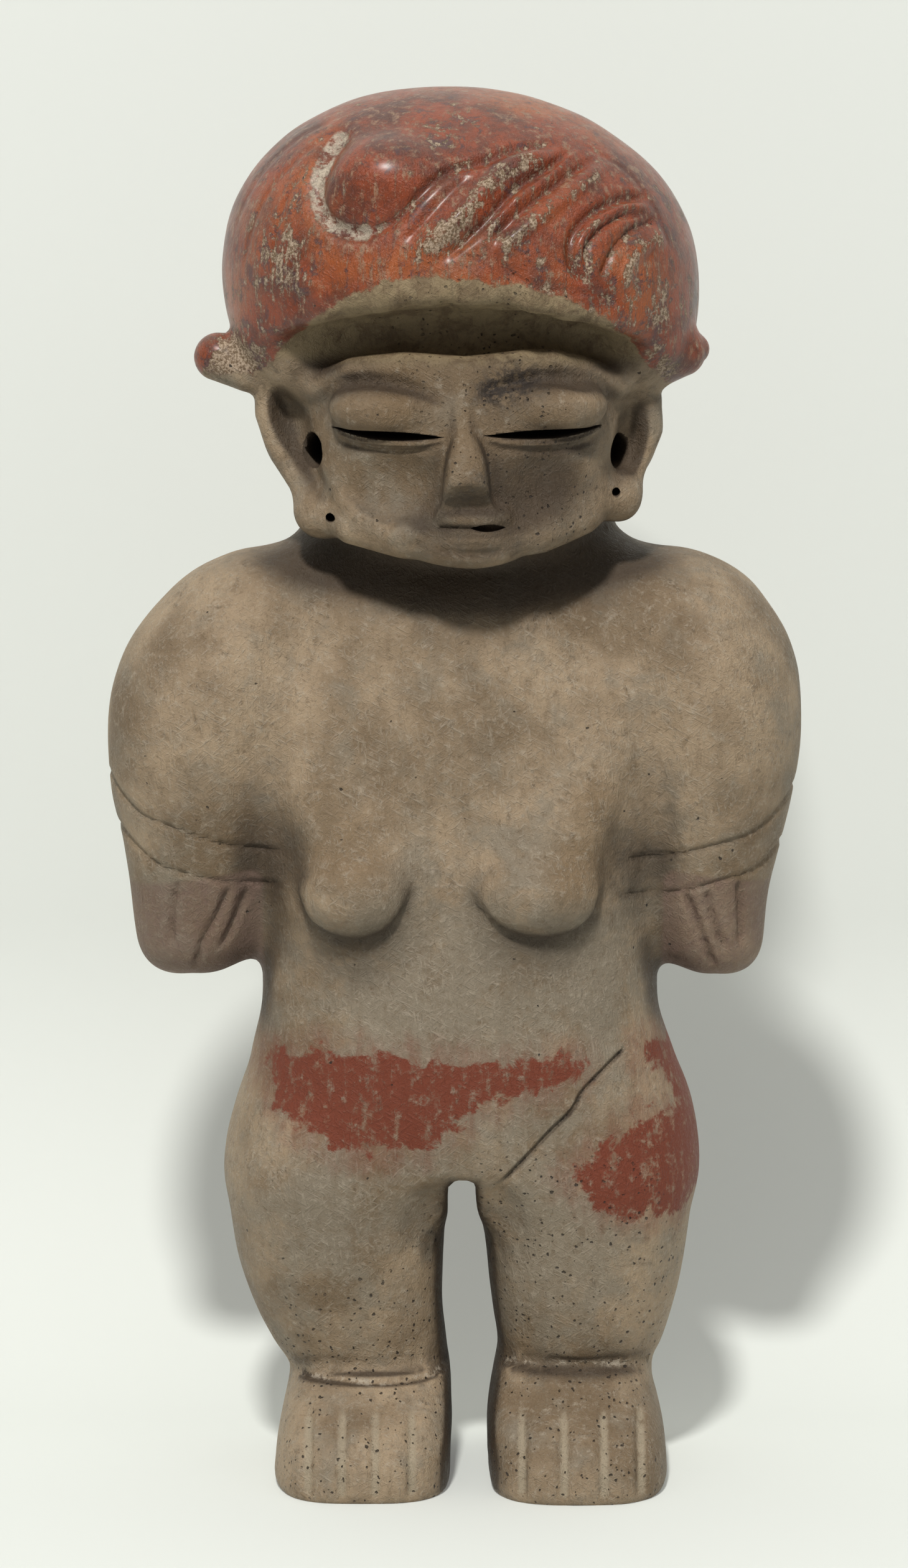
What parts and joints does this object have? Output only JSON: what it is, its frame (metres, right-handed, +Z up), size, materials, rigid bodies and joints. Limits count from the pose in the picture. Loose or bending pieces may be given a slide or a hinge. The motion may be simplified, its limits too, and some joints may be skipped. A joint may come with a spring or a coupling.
{
  "type": "standing pottery figure",
  "caption": "Standing figure of a woman in fired clay, with a burnished helmet of carved hair, arms at the sides and flat soles that carry it.",
  "frame": {"origin": "on the ground under the middle of the figure's box", "axes": "+Z up through the figure, -Y the way it faces, +X to the viewer's right when facing it"},
  "size_m": [0.1494, 0.084, 0.3001],
  "materials": {
    "fired_clay": "worn burnished slip over bare clay"
  },
  "bodies": {
    "root": {"pottery_figure": "fired_clay"}
  },
  "joints": []
}
